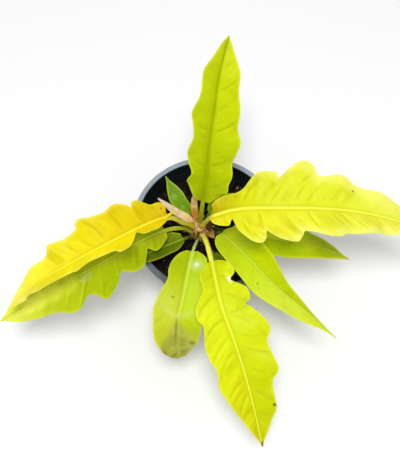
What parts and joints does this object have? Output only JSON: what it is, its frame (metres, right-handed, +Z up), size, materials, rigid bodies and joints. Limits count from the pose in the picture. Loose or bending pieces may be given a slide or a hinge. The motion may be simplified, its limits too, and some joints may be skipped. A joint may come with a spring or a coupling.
{
  "type": "potted golden crocodile philodendron",
  "caption": "Aroid house plant with long wavy-edged golden-green leaves on a short crown, in a round black nursery pot of soil.",
  "frame": {"origin": "middle of the pot's flat underside, on the surface that it stands on", "axes": "+Z up along the pot's axis, -Y towards the side that the picture was taken from, +X to the picture's right"},
  "size_m": [0.3737, 0.3004, 0.217],
  "materials": {
    "pot_plastic": "satin black, slightly scuffed",
    "potting_mix": "loose, dark, matte",
    "stem_green": "green-brown, matte",
    "leaf_lime": "waxy, satin, lime gold",
    "leaf_gold": "waxy, satin, golden yellow",
    "leaf_amber": "waxy, satin, amber yellow",
    "leaf_green": "waxy, satin, bright green",
    "leaf_olive": "waxy, satin, olive green",
    "leaf_dark": "waxy, satin, deep green",
    "sheath_pale": "dry, pink-beige",
    "sheath_tan": "dry, orange-tan",
    "sheath_brown": "papery, red-brown"
  },
  "bodies": {
    "root": {"pot": "pot_plastic", "soil": "potting_mix", "stem": "stem_green", "leaf_01": "leaf_lime", "leaf_02": "leaf_gold", "leaf_03": "leaf_amber", "leaf_04": "leaf_green", "leaf_05": "leaf_dark", "leaf_06": "leaf_green", "leaf_07": "leaf_lime", "leaf_08": "leaf_green", "leaf_09": "leaf_olive", "leaf_10": "leaf_dark", "leaf_11": "leaf_dark", "leaf_12": "leaf_dark", "sheath_01": "sheath_pale", "sheath_02": "sheath_tan", "sheath_03": "sheath_brown"}
  },
  "joints": []
}
